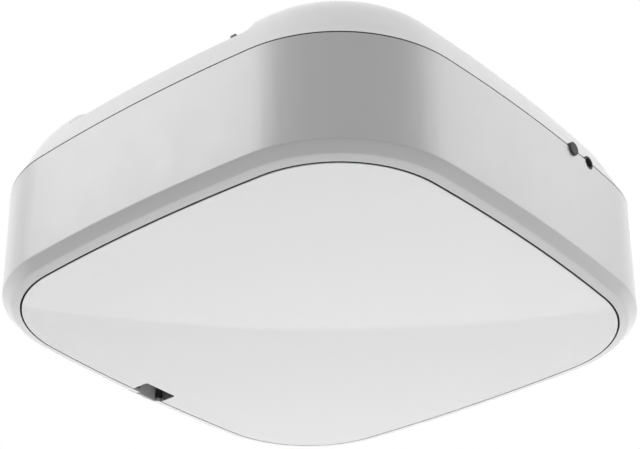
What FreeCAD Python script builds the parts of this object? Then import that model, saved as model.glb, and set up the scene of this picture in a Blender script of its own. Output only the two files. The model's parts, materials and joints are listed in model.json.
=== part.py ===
"""Ceiling power head of a garage door opener, built as separate pieces.

Lengths are millimetres and +Z is up. Heights are counted from the outer face of the light lens
while the pieces are made, and every piece is moved at the end so that the origin is the centre of
the four hanging bolts, on the top of the steel deck.
-Y is the side the rail leaves over, -X is the side of the lens latch, +X is the side of the wires.
"""
import FreeCAD, Part
import math
import os

V = FreeCAD.Vector

# ---- overall outline: four bowed sides and four round corners, all outlines are offsets of it ----
LENS_HALF = 158.0          # middle of a lens side from the centre
SIDE_R = 1136.0            # radius of a bowed side
CORNER_R = 73.7            # radius of a lens corner

# ---- outside shells: offsets are from the lens outline ----
LENS_T = 2.6
LENS_GAP = 1.3
RIM_OFF = 7.0
RIM_Z = 1.9
BAND_OFF = 12.9
BAND_Z = 7.9
SEAM_OFF = 14.0
SEAM_Z = 78.4
SEAM_GAP = 0.8
WALL = 2.5
LIP_T = 2.6
SKIRT_JOINT_Y = -30.0      # joint between the front and back sections, clear of the latch
COVER_H = 48.0
COVER_PROFILE = [(0.0, 0.5), (8.0, 4.0), (16.0, 7.4), (24.0, 11.1), (34.0, 17.1), (41.0, 24.4),
                 (46.0, 33.0), (48.0, 43.0)]     # height in 48ths of the cover, inset
PROFILE_PARTS = 48.0
SPIGOT_H = 5.0
SPIGOT_GAP = 0.4
LEDGE_ALONG = 92.0         # places of the screw ledges along each side
LEDGE_W = 14.0
LEDGE_IN = 1.0             # ledge's inner end, as an offset from the lens outline
LEDGE_DEEP = 7.5

# ---- channel in the cover for the rail, and the steel deck on its floor ----
CHANNEL_HALF = 77.0
CHANNEL_UP = 25.4          # channel floor over the seam
CHANNEL_FLOOR = SEAM_Z + CHANNEL_UP
CHANNEL_BACK = 100.0
CHANNEL_DRAFT = 2.0
CHANNEL_FILLET = 4.0
DECK_HALF_X = 72.0
DECK_FRONT = -118.0
DECK_BACK = 92.0
DECK_T = 2.0
HANG_X = 120.0             # hanging bolt spacings
HANG_Y = 160.0
HANG_R = 4.2
HANG_COLLAR_R = 8.0
HANG_COLLAR_H = 6.0
WELL_X = (-55.0, 48.0)     # opening in the channel floor over the gearbox
WELL_GAP = 0.5             # round the gearbox standoffs

# ---- steel chassis ----
PLATE_Z = 24.5
PLATE_T = 1.5
PLATE_OFF = 8.0
WIRE_HOLES = [(120.0, -118.0), (-36.0, -20.0)]     # wires down to the lights
WIRE_HOLE_R = 9.0
FRAME_X = (-70.0, 62.0)
FRAME_T = 2.0
FLANGE_TO_WELL = 2.0       # between the frame's top flange and the gearbox well
FRAME_SCREW_IN = 11.0
WINDOW_X, WINDOW_Z, WINDOW_R = -30.0, 60.0, 14.0    # wiring window in each frame wall
SCREW_R = 1.6
SCREW_HEAD_R = 3.2
SCREW_HEAD_H = 2.2
PILOT_GAP = 0.1

# ---- light: reflector, boards and chips ----
REFLECTOR_Z = 22.0
REFLECTOR_T = 2.0
REFLECTOR_IN_OFF = -14.0
REFLECTOR_RIM_OFF = -2.0
REFLECTOR_RIM_Z = 10.0
LED_BOARD_X = (-58.0, LENS_HALF - 46.0)
LED_BOARD_W = 14.0
LED_BOARD_T = 1.2
LED_ROWS_Y = (-118.0, -59.0, 0.0, 59.0)
LED_PER_ROW = 8
LED_SIZE = 5.0
LED_T = 0.9

# ---- lens: stiffening wall, notch, hinge and catch ----
LENS_WALL_OFF = -3.0
LENS_WALL_T = 2.0
LENS_WALL_Z = 8.0
NOTCH_Y = 2.6              # centre of the finger notch
NOTCH_W = 27.2
NOTCH_DEPTH = 13.0
HINGE_INSET = 18.0         # hinge pins inside the lens edge
HINGE_X = LENS_HALF - HINGE_INSET
HINGE_Y = 70.0
HINGE_Z = 6.0
HINGE_PIN_R = 1.5
HINGE_PIN_FIT = 0.05
HINGE_EYE_R = 3.0
ARM_W = 12.0
ARM_T = 4.0
ARM_TOP = SEAM_Z - 4.4
ARM_CLEAR = 0.3
EAR_T = 3.0
EAR_GAP = 0.4
GUIDE_TOP = 40.0
GUIDE_WALL = 4.0
HANGER_BAR_T = 3.0
DROP = 30.0                # how far the hanger comes down when the lens is fully open

# ---- lens latch ----
TAB_Y = 5.8
TAB_W = 14.6
TAB_OUT = 3.5              # inner face of the tab outside the lens edge
TAB_X = -LENS_HALF - TAB_OUT
TAB_T = 1.6
TAB_LOW = 0.8
TAB_TOP = 22.6
LATCH_PIN_Z = 20.0
LATCH_PIN_R = 1.0
LATCH_PIN_FIT = 0.05
LATCH_CLEAR = 0.5
PIN_SEAT_GAP = 0.02
NOSE_Z = (15.4, 17.6)
NOSE_W = 7.6
CATCH_REACH = 2.0
CATCH_WALL_T = 2.0
CHEEK_T = 2.0
CHEEK_GAP = 1.6
RIM_CUT_W = 17.6
RIM_CUT_X = -LENS_HALF - RIM_OFF

# ---- gearmotor ----
MODULE = 1.5
WHEEL_TEETH = 30
WHEEL_W = 7.0
WORM_PITCH_R = 6.4
WORM_TIP_R = WORM_PITCH_R + 0.73 * MODULE
WORM_ROOT_R = WORM_PITCH_R - 1.47 * MODULE
WHEEL_DEDENDUM = 1.27 * MODULE
THREAD_HALF = 0.533 * MODULE   # half thickness of the worm thread at the pitch line
TOOTH_HALF = 0.567 * MODULE    # half thickness of a wheel tooth at the pitch line
FLANK = math.tan(math.radians(20.0))
SHAFT_X = 0.0
SHAFT_Y = 28.0
SHAFT_R = 6.0
GEAR_Z = 72.0
BEARING_FIT = 0.05
BUSH_WALL = 3.0
BUSH_H = 5.0
GEARBOX_WALL = 3.0
GEARBOX_CLEAR = 1.0
GEARBOX_HALF_H = 12.0
LID_T = 3.0
STANDOFF_R = 4.5
MOTOR_R = 27.0
MOTOR_WALL = 2.0
MOTOR_X = (34.0, 112.0)
CORE_R = 17.5
MAGNET_R = 19.0
CORE_X = (46.0, 84.0)
MOTOR_SHAFT_R = 2.5
COMMUTATOR_R = 8.0
COMMUTATOR_X = (88.0, 100.0)
END_CAP_T = 5.0
DISC_R = 13.0
DISC_T = 1.0

# ---- sprocket, guard and rail bracket on the deck ----
SPROCKET_TEETH = 14
SPROCKET_PITCH = 8.0
SPROCKET_W = 11.0
SPROCKET_FLANGE_T = 1.4
SPROCKET_UP = 2.2          # sprocket over the deck
SPROCKET_Z = CHANNEL_FLOOR + DECK_T + SPROCKET_UP
GUARD_R = 27.5
GUARD_WALL = 2.5
GUARD_FOOT = 7.0           # foot past its screw
GUARD_FOOT_T = 3.0
GUARD_H = 20.2
GUARD_TOP = CHANNEL_FLOOR + DECK_T + GUARD_H
BRACKET_Y = (-112.0, -44.0)
BRACKET_HALF = 24.0
BRACKET_H = 16.0
BRACKET_T = 2.5
BRACKET_FLANGE = 16.0
RAIL_HOLE_R = 3.3
RAIL_HOLE_SPACING = 44.0

# ---- wires ----
GLAND_Y = 36.5
GLAND_R = 4.4
GLAND_OUT = 1.6
GROMMET_Y = 56.0
GROMMET_R = 4.5
GROMMET_BORE_R = 3.2
GROMMET_OUT = 0.2
FITTING_IN = 8.0
FITTING_FLANGE = 1.6
TERMINAL_XY = (LENS_HALF - 42.0, 88.0)
TERMINAL_PITCH = 8.0
CLIP_X = (62.5, 66.5)
CLIP_IN = 0.3
CLIP_LONG = 3.0
CLIP_TALL = 2.8

# ---- electronics and battery ----
BOARD_Z = 34.0
BOARD_T = 1.6
BOARD_EDGE = 8.0           # boards inside the lens edge
LOGIC_X = (BOARD_EDGE - LENS_HALF, -76.0)
LOGIC_Y = (-88.0, 88.0)
POWER_X = (-68.0, 68.0)
POWER_Y = (BOARD_EDGE - LENS_HALF, -92.0)
BATTERY_X = (-72.0, 72.0)
BATTERY_Y = (LENS_HALF - 66.0, LENS_HALF - 10.0)
BATTERY_Z = (30.0, 72.0)
TRAY_T = 2.0
BATTERY_COVER_X = (-50.0, 50.0)
BATTERY_COVER_Y = (BATTERY_Y[0], BATTERY_Y[1] - 10.0)
BATTERY_DOOR_LIP = 5.0     # cover laps the opening by this much
PANEL_X = (-128.0, -82.0)
PANEL_Y = (-62.0, 22.0)
PANEL_Z = 14.0
PANEL_WALL = 2.0
BUTTON_X = -105.0
BUTTON_TRAVEL = 1.2
BUTTON_OUT = 1.5
BUTTON_CLEAR = 0.3
BUTTON_FLANGE = 1.4
BUTTON_FLANGE_T = 1.0
STEM_R = 2.2
SWITCH_H = 2.5
BUTTONS = [("up_button", 6.0, 8.0), ("adjust_button", 4.5, -13.0), ("down_button", 6.0, -34.0),
           ("learn_button", 3.5, -53.0)]         # name, cap radius, place along Y

# ---- values worked out from the sizes above ----
COVER_TOP = SEAM_Z + COVER_H
DECK_TOP = CHANNEL_FLOOR + DECK_T
PLATE_TOP = PLATE_Z + PLATE_T
FRAME_TOP = CHANNEL_FLOOR - WALL
BOARD_TOP = BOARD_Z + BOARD_T
WHEEL_PITCH_R = MODULE * WHEEL_TEETH / 2.0
WORM_Y = SHAFT_Y - WHEEL_PITCH_R - WORM_PITCH_R
THREAD_PITCH = math.pi * MODULE
GEARBOX_R = WHEEL_PITCH_R + MODULE + GEARBOX_CLEAR
SPROCKET_R = SPROCKET_TEETH * SPROCKET_PITCH / (2.0 * math.pi)
NOTCH_IN_X = -LENS_HALF + NOTCH_DEPTH
WORM_CASE_R = WORM_TIP_R + GEARBOX_CLEAR + GEARBOX_WALL

STANDOFF_REACH = (GEARBOX_R + GEARBOX_WALL + 0.7 * STANDOFF_R) / math.sqrt(2.0)
WELL_HALF_Y = SHAFT_Y + STANDOFF_REACH + STANDOFF_R + WELL_GAP
FRAME_Y = HANG_Y / 2.0 - HANG_COLLAR_R
FRAME_FLANGE = FRAME_Y - WELL_HALF_Y - FLANGE_TO_WELL

PIECES = {}
SCREWS = []


def outline(offset, z):
    """Closed wire of the lens outline moved outwards by offset, at height z."""
    centre = LENS_HALF - SIDE_R
    gap = SIDE_R - CORNER_R
    corner = (centre + math.sqrt(2.0 * gap * gap - centre * centre)) / 2.0
    turn = math.atan2(corner, corner - centre)
    side_r = SIDE_R + offset
    corner_r = CORNER_R + offset
    edges = []
    for quarter in range(4):
        base = quarter * math.pi / 2.0
        ux, uy = math.cos(base), math.sin(base)

        def place(cx, cy, radius, angle):
            px = cx + radius * math.cos(angle)
            py = cy + radius * math.sin(angle)
            return V(px * ux - py * uy, px * uy + py * ux, z)

        side = [place(centre, 0.0, side_r, a) for a in (-turn, 0.0, turn)]
        bend = [place(corner, corner, corner_r, a) for a in (turn, math.pi / 4.0, math.pi / 2.0 - turn)]
        edges.append(Part.Arc(side[0], side[1], side[2]).toShape())
        edges.append(Part.Arc(bend[0], bend[1], bend[2]).toShape())
    return Part.Wire(edges)


def slab(offset, z0, z1):
    """Straight prism of one outline."""
    return Part.Face(outline(offset, z0)).extrude(V(0, 0, z1 - z0))


def taper(offset0, z0, offset1, z1):
    """Solid between two outlines of different offset."""
    return Part.makeLoft([outline(offset0, z0), outline(offset1, z1)], True, True)


def box(x0, x1, y0, y1, z0, z1):
    return Part.makeBox(x1 - x0, y1 - y0, z1 - z0, V(x0, y0, z0))


def plate(x0, x1, y0, y1, z0, z1, radius):
    """Box with its four upright edges rounded."""
    solid = box(x0, x1, y0, y1, z0, z1)
    upright = [e for e in solid.Edges if abs(e.Vertexes[0].X - e.Vertexes[1].X) < 1e-6
               and abs(e.Vertexes[0].Y - e.Vertexes[1].Y) < 1e-6]
    return solid.makeFillet(radius, upright)


def post(x, y, z0, z1, radius):
    """Upright cylinder."""
    return Part.makeCylinder(radius, z1 - z0, V(x, y, z0), V(0, 0, 1))


def rod_x(x0, x1, y, z, radius):
    return Part.makeCylinder(radius, x1 - x0, V(x0, y, z), V(1, 0, 0))


def rod_y(x, y0, y1, z, radius):
    return Part.makeCylinder(radius, y1 - y0, V(x, y0, z), V(0, 1, 0))


def prism_y(points, y0, y1):
    """Closed outline of (x, z) points, extruded along Y."""
    wire = Part.makePolygon([V(x, y0, z) for x, z in points + points[:1]])
    return Part.Face(wire).extrude(V(0, y1 - y0, 0))


def prism_z(points, z0, z1):
    """Closed outline of (x, y) points, extruded upwards."""
    wire = Part.makePolygon([V(x, y, z0) for x, y in points + points[:1]])
    return Part.Face(wire).extrude(V(0, 0, z1 - z0))


def joined(shapes):
    result = shapes[0]
    for shape in shapes[1:]:
        result = result.fuse(shape)
    return result.removeSplitter()


def screw(x, y, z_seat, length, up=False):
    """Pan-head screw seated at z_seat, its shank going down, or up when it is driven from below."""
    sign = 1.0 if up else -1.0
    shank = Part.makeCylinder(SCREW_R, length, V(x, y, z_seat), V(0, 0, sign))
    head = Part.makeCylinder(SCREW_HEAD_R, SCREW_HEAD_H, V(x, y, z_seat), V(0, 0, -sign))
    slot_z = z_seat - sign * SCREW_HEAD_H
    slot = box(x - SCREW_HEAD_R, x + SCREW_HEAD_R, y - 0.4, y + 0.4, slot_z - 0.6, slot_z + 0.6)
    return shank.fuse(head).cut(slot).removeSplitter()


def keep(name, shape):
    """Store one piece; several solids in one piece stay separate."""
    PIECES[name] = shape


def group(name, solids):
    keep(name, Part.makeCompound(solids))


def both(values):
    return [sign * value for value in values for sign in (-1.0, 1.0)]


# ---------------------------------------------------------------------------------------------
# outside shells
# ---------------------------------------------------------------------------------------------

def ledge_places():
    """Centre of each screw ledge and the side it is on, as (x, y, along_x)."""
    reach = LENS_HALF + 0.5 * (LEDGE_IN + PLATE_OFF) - LEDGE_ALONG ** 2 / (2.0 * SIDE_R)
    places = []
    for far in (-reach, reach):
        for along in (-LEDGE_ALONG, LEDGE_ALONG):
            places.append((far, along, False))
            places.append((along, far, True))
    return places


def skirt_outside():
    lip = taper(LENS_GAP, 0.4, RIM_OFF, RIM_Z)
    chamfer = taper(RIM_OFF, RIM_Z, BAND_OFF, BAND_Z)
    band = taper(BAND_OFF, BAND_Z, SEAM_OFF, SEAM_Z)
    return lip.fuse(chamfer).fuse(band)


def quarters(ring):
    """The skirt's four sections, which meet at the middles of its sides."""
    far = 2.0 * LENS_HALF
    sections = []
    for x0, x1 in ((-far, 0.0), (0.0, far)):
        for y0, y1 in ((-far, SKIRT_JOINT_Y), (SKIRT_JOINT_Y, far)):
            sections.append(ring.common(box(x0, x1, y0, y1, -1.0, SEAM_Z + 1.0)))
    return [solid for section in sections for solid in section.Solids]


def lower_skirt():
    outside = skirt_outside()
    low = taper(LENS_GAP + 2.0, 0.4 + LIP_T, BAND_OFF - WALL, BAND_Z + 1.6)
    high = taper(BAND_OFF - WALL, BAND_Z + 1.6, SEAM_OFF - WALL, SEAM_Z)
    body = outside.cut(low).cut(high).cut(slab(LENS_GAP, -1.0, 6.0))
    for x, y, along_x in ledge_places():
        half_x, half_y = (LEDGE_W / 2.0, 9.0) if along_x else (9.0, LEDGE_W / 2.0)
        block = box(x - half_x, x + half_x, y - half_y, y + half_y, PLATE_Z - LEDGE_DEEP, PLATE_Z)
        block = block.common(slab(BAND_OFF - 0.8, 0.0, SEAM_Z)).cut(slab(LEDGE_IN, 0.0, SEAM_Z))
        body = body.fuse(block)
        body = body.cut(post(x, y, PLATE_Z - LEDGE_DEEP - 1.0, PLATE_Z + 1.0, SCREW_R + PILOT_GAP))
    half = RIM_CUT_W / 2.0
    body = body.cut(box(RIM_CUT_X, -LENS_HALF, TAB_Y - half, TAB_Y + half, -1.0, BAND_Z + 1.0))
    for y, radius in ((GLAND_Y, GLAND_R), (GROMMET_Y, GROMMET_R)):
        body = body.cut(rod_x(LENS_HALF, LENS_HALF + 30.0, y, SEAM_Z, radius + 0.1))
    group("lower_skirt", quarters(body))


def cover_solid(inset, drop):
    """Domed solid of the cover, made smaller all round by inset and lower by drop."""
    tall = (COVER_H - drop) * (COVER_H - SEAM_GAP) / COVER_H
    wires = []
    for share, step in COVER_PROFILE:
        wires.append(outline(SEAM_OFF - step - inset, SEAM_Z + SEAM_GAP + tall * share / PROFILE_PARTS))
    return Part.makeLoft(wires, True, False)


def channel_cutter(grow):
    """Long trapezoid trough of the rail channel; grow thickens it into the trough's liner."""
    half = CHANNEL_HALF + grow
    floor = CHANNEL_FLOOR - grow
    top = COVER_TOP + 10.0
    lean = CHANNEL_DRAFT
    front = -LENS_HALF - 40.0
    points = [(-half, floor), (half, floor), (half + lean, top), (-half - lean, top)]
    solid = prism_y(points, front, CHANNEL_BACK + grow)
    low = [e for e in solid.Edges if abs(e.Vertexes[0].Z - floor) < 1e-6
           and abs(e.Vertexes[1].Z - floor) < 1e-6 and abs(e.Vertexes[0].X - e.Vertexes[1].X) < 1e-6]
    return solid.makeFillet(CHANNEL_FILLET + grow, low)


def hang_places():
    return [(x, y) for x in both([HANG_X / 2.0]) for y in both([HANG_Y / 2.0])]


def frame_screw_places():
    y = FRAME_Y - FRAME_FLANGE / 2.0 - 1.0
    return [(x, s * y) for x in (FRAME_X[0] + FRAME_SCREW_IN, FRAME_X[1] - FRAME_SCREW_IN) for s in (-1.0, 1.0)]


def foot_places():
    """Screws of the frame's feet into the base plate."""
    y = FRAME_Y + FRAME_FLANGE / 2.0 + 1.0
    return [(x, s * y) for x in (FRAME_X[0] + 12.0, FRAME_X[1] - 12.0) for s in (-1.0, 1.0)]


def upper_cover():
    outside = cover_solid(0.0, 0.0)
    inside = cover_solid(WALL, WALL)
    shell = outside.cut(inside)
    liner = channel_cutter(WALL).common(outside)
    spigot_out = SEAM_OFF - WALL - SPIGOT_GAP
    spigot = slab(spigot_out, SEAM_Z - SPIGOT_H, SEAM_Z + 3.0).cut(
        slab(spigot_out - 2.0, SEAM_Z - SPIGOT_H - 1.0, SEAM_Z + 4.0))
    body = shell.fuse(liner).fuse(spigot).cut(channel_cutter(0.0))
    body = body.cut(box(WELL_X[0], WELL_X[1], -WELL_HALF_Y, WELL_HALF_Y, FRAME_TOP - 1.0, DECK_TOP))
    for x, y in hang_places():
        body = body.cut(post(x, y, FRAME_TOP - 1.0, DECK_TOP, HANG_R + 0.8))
    for x, y in frame_screw_places():
        body = body.cut(post(x, y, FRAME_TOP - 1.0, DECK_TOP, SCREW_R + 0.4))
    for y, radius in ((GLAND_Y, GLAND_R), (GROMMET_Y, GROMMET_R)):
        body = body.cut(rod_x(LENS_HALF, LENS_HALF + 30.0, y, SEAM_Z, radius + 0.1))
    keep("upper_cover", body)


# ---------------------------------------------------------------------------------------------
# steel deck and chassis
# ---------------------------------------------------------------------------------------------

def standoff_places():
    """Two posts beside the wheel's case and two outside the worm's case."""
    half = STANDOFF_REACH
    front = WORM_Y - WORM_CASE_R - STANDOFF_R / 3.0
    return [(SHAFT_X + s * half, y) for y in (SHAFT_Y + half, front) for s in (-1.0, 1.0)]


def bracket_screw_places():
    x = BRACKET_HALF + BRACKET_FLANGE / 2.0
    return [(s * x, y) for y in (BRACKET_Y[0] + 10.0, BRACKET_Y[1] - 10.0) for s in (-1.0, 1.0)]


def guard_screw_places():
    return [(SHAFT_X + s * (GUARD_R + 6.0), SHAFT_Y) for s in (-1.0, 1.0)]


def top_deck():
    body = plate(-DECK_HALF_X, DECK_HALF_X, DECK_FRONT, DECK_BACK, CHANNEL_FLOOR, DECK_TOP, 8.0)
    body = body.cut(post(SHAFT_X, SHAFT_Y, CHANNEL_FLOOR - 1.0, DECK_TOP + 1.0, SHAFT_R + BUSH_WALL + 0.1))
    for x, y in hang_places():
        body = body.cut(post(x, y, CHANNEL_FLOOR - 1.0, DECK_TOP + 1.0, HANG_R))
    small = frame_screw_places() + bracket_screw_places() + guard_screw_places() + standoff_places()
    for x, y in small:
        body = body.cut(post(x, y, CHANNEL_FLOOR - 1.0, DECK_TOP + 1.0, SCREW_R + PILOT_GAP))
    keep("top_deck", body)
    collars = []
    for x, y in hang_places():
        ring = post(x, y, FRAME_TOP - HANG_COLLAR_H, FRAME_TOP, HANG_COLLAR_R)
        collars.append(ring.cut(post(x, y, FRAME_TOP - HANG_COLLAR_H - 1.0, FRAME_TOP + 1.0, HANG_R)))
    group("hanging_collars", collars)


def chassis_frame():
    walls = []
    for side in (-1.0, 1.0):
        y_in = FRAME_Y - FRAME_T
        foot = [(side * y_in, PLATE_TOP), (side * (FRAME_Y + FRAME_FLANGE), PLATE_TOP),
                (side * (FRAME_Y + FRAME_FLANGE), PLATE_TOP + FRAME_T),
                (side * FRAME_Y, PLATE_TOP + FRAME_T), (side * FRAME_Y, FRAME_TOP),
                (side * (FRAME_Y - FRAME_FLANGE), FRAME_TOP),
                (side * (FRAME_Y - FRAME_FLANGE), FRAME_TOP - FRAME_T),
                (side * y_in, FRAME_TOP - FRAME_T)]
        wire = Part.makePolygon([V(FRAME_X[0], y, z) for y, z in foot + foot[:1]])
        wall = Part.Face(wire).extrude(V(FRAME_X[1] - FRAME_X[0], 0, 0))
        low, high = sorted((side * (y_in - 1.0), side * (FRAME_Y + 1.0)))
        wall = wall.cut(rod_y(WINDOW_X, low, high, WINDOW_Z, WINDOW_R))
        for x, y in foot_places():
            if y * side > 0.0:
                wall = wall.cut(post(x, y, PLATE_TOP - 1.0, PLATE_TOP + 4.0, SCREW_R + PILOT_GAP))
        for x, y in frame_screw_places():
            if y * side > 0.0:
                wall = wall.cut(post(x, y, FRAME_TOP - 4.0, FRAME_TOP + 1.0, SCREW_R + PILOT_GAP))
        walls.append(wall)
    group("chassis_frame", walls)


def battery_door(z0, z1):
    """Opening under the battery, through the plate, tray and reflector."""
    lip = BATTERY_DOOR_LIP
    return box(BATTERY_COVER_X[0] + lip, BATTERY_COVER_X[1] - lip, BATTERY_COVER_Y[0] + lip,
               BATTERY_COVER_Y[1] - lip, z0, z1)


def base_plate():
    """Steel plate with the two cheeks that hold the latch pin folded down from it."""
    body = slab(PLATE_OFF, PLATE_Z, PLATE_TOP)
    mid_x = TAB_X - TAB_T / 2.0
    for side in (-1.0, 1.0):
        near = TAB_Y + side * (TAB_W / 2.0 + CHEEK_GAP)
        y0, y1 = sorted((near, near + side * CHEEK_T))
        body = body.fuse(box(mid_x - 3.0, mid_x + 3.0, y0, y1, LATCH_PIN_Z - 3.0, PLATE_Z))
        body = body.cut(rod_y(mid_x, y0 - 1.0, y1 + 1.0, LATCH_PIN_Z, LATCH_PIN_R + PIN_SEAT_GAP))
    for x, y, _ in ledge_places():
        body = body.cut(post(x, y, PLATE_Z - 1.0, PLATE_TOP + 1.0, SCREW_R + PILOT_GAP))
    for y in both([HINGE_Y]):
        body = body.cut(box(HINGE_X - ARM_T, HINGE_X + ARM_T, y - ARM_W / 2.0 - 2.0,
                            y + ARM_W / 2.0 + 2.0, PLATE_Z - 1.0, PLATE_TOP + 1.0))
    for _, _, y in BUTTONS:
        body = body.cut(post(BUTTON_X, y, PLATE_Z - 1.0, PLATE_TOP + 1.0, STEM_R + 1.0))
    body = body.cut(battery_door(PLATE_Z - 1.0, PLATE_TOP + 1.0))
    for x, y in foot_places():
        body = body.cut(post(x, y, PLATE_Z - 1.0, PLATE_TOP + 1.0, SCREW_R + PILOT_GAP))
    for x, y in WIRE_HOLES:
        body = body.cut(post(x, y, PLATE_Z - 1.0, PLATE_TOP + 1.0, WIRE_HOLE_R))
    keep("base_plate", body)


# ---------------------------------------------------------------------------------------------
# rail bracket, sprocket guard
# ---------------------------------------------------------------------------------------------

def rail_hole_places():
    middle = 0.5 * (BRACKET_Y[0] + BRACKET_Y[1])
    return [(0.0, middle + s * RAIL_HOLE_SPACING / 2.0) for s in (-1.0, 1.0)]


def rail_bracket():
    out = BRACKET_HALF
    inner = out - BRACKET_T
    wide = out + BRACKET_FLANGE
    low, top = DECK_TOP, DECK_TOP + BRACKET_H
    points = [(-wide, low), (-inner, low), (-inner, top - BRACKET_T), (inner, top - BRACKET_T),
              (inner, low), (wide, low), (wide, low + BRACKET_T), (out, low + BRACKET_T),
              (out, top), (-out, top), (-out, low + BRACKET_T), (-wide, low + BRACKET_T)]
    body = prism_y(points, BRACKET_Y[0], BRACKET_Y[1])
    for x, y in bracket_screw_places():
        body = body.cut(post(x, y, low - 1.0, low + BRACKET_T + 1.0, SCREW_R + PILOT_GAP))
    for x, y in rail_hole_places():
        body = body.cut(post(x, y, top - BRACKET_T - 1.0, top + 1.0, RAIL_HOLE_R))
    keep("rail_bracket", body)
    SCREWS.extend(screw(x, y, low + BRACKET_T, BRACKET_T + DECK_T - 0.2) for x, y in bracket_screw_places())


def sprocket_guard():
    low, top = DECK_TOP, GUARD_TOP
    outer = post(SHAFT_X, SHAFT_Y, low, top, GUARD_R)
    outer = outer.fuse(box(SHAFT_X - GUARD_R, SHAFT_X + GUARD_R, SHAFT_Y - GUARD_R - 10.0, SHAFT_Y, low, top))
    inner_r = GUARD_R - GUARD_WALL
    inner = post(SHAFT_X, SHAFT_Y, low - 1.0, top - GUARD_WALL, inner_r)
    inner = inner.fuse(box(SHAFT_X - inner_r, SHAFT_X + inner_r, SHAFT_Y - GUARD_R - 11.0, SHAFT_Y,
                           low - 1.0, top - GUARD_WALL))
    body = outer.cut(inner)
    for x, y in guard_screw_places():
        side = math.copysign(1.0, x - SHAFT_X)
        x0, x1 = sorted((SHAFT_X + side * (inner_r + 0.5), x + side * GUARD_FOOT))
        body = body.fuse(plate(x0, x1, y - 6.0, y + 6.0, low, low + GUARD_FOOT_T, 0.4))
        body = body.cut(post(x, y, low - 1.0, low + GUARD_FOOT_T + 1.0, SCREW_R + PILOT_GAP))
    keep("sprocket_guard", body.removeSplitter())
    SCREWS.extend(screw(x, y, low + GUARD_FOOT_T, GUARD_FOOT_T + DECK_T - 0.2) for x, y in guard_screw_places())


# ---------------------------------------------------------------------------------------------
# output shaft, gears, gearbox
# ---------------------------------------------------------------------------------------------

def gear_outline(teeth, root_r, tip_r, root_half, tip_half, phase):
    """Points of a toothed wheel whose gaps, not its teeth, sit at the phase angle."""
    points = []
    for k in range(teeth):
        mid = phase + (k + 0.5) * 2.0 * math.pi / teeth
        for radius, shift in ((root_r, -root_half), (tip_r, -tip_half), (tip_r, tip_half), (root_r, root_half)):
            angle = mid + shift / radius
            points.append((SHAFT_X + radius * math.cos(angle), SHAFT_Y + radius * math.sin(angle)))
    return points


def output_train():
    root_r = WHEEL_PITCH_R - WHEEL_DEDENDUM
    tip_r = WHEEL_PITCH_R + MODULE
    points = gear_outline(WHEEL_TEETH, root_r, tip_r, TOOTH_HALF + FLANK * WHEEL_DEDENDUM,
                          TOOTH_HALF - FLANK * MODULE,
                          -math.pi / 2.0)
    low = GEAR_Z - WHEEL_W / 2.0
    wheel = prism_z(points, low, low + WHEEL_W)
    hub = post(SHAFT_X, SHAFT_Y, low - 3.0, low + WHEEL_W + 3.0, SHAFT_R + 5.0)
    wheel = wheel.fuse(hub).cut(post(SHAFT_X, SHAFT_Y, low - 4.0, low + WHEEL_W + 4.0, SHAFT_R))
    keep("worm_wheel", wheel.removeSplitter())
    shaft_low = GEAR_Z - GEARBOX_HALF_H - BUSH_H + 1.0
    top = SPROCKET_Z + SPROCKET_W + 2.0 * SPROCKET_FLANGE_T + 1.2
    keep("output_shaft", post(SHAFT_X, SHAFT_Y, shaft_low, top, SHAFT_R))
    z0 = SPROCKET_Z
    bottom = post(SHAFT_X, SHAFT_Y, z0, z0 + SPROCKET_FLANGE_T, SPROCKET_R + 2.0)
    teeth = gear_outline(SPROCKET_TEETH, SPROCKET_R - 2.4, SPROCKET_R, 2.6, 1.5, 0.0)
    middle = prism_z(teeth, z0 + SPROCKET_FLANGE_T, z0 + SPROCKET_FLANGE_T + SPROCKET_W)
    cap_z = z0 + SPROCKET_FLANGE_T + SPROCKET_W
    cap = post(SHAFT_X, SHAFT_Y, cap_z, cap_z + SPROCKET_FLANGE_T, SPROCKET_R + 2.0)
    sprocket = bottom.fuse(middle).fuse(cap).cut(post(SHAFT_X, SHAFT_Y, z0 - 1.0, top + 1.0, SHAFT_R))
    keep("belt_sprocket", sprocket.removeSplitter())


def shaft_bush(z0, height):
    ring = post(SHAFT_X, SHAFT_Y, z0, z0 + height, SHAFT_R + BUSH_WALL)
    return ring.cut(post(SHAFT_X, SHAFT_Y, z0 - 1.0, z0 + height + 1.0, SHAFT_R + BEARING_FIT))


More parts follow.
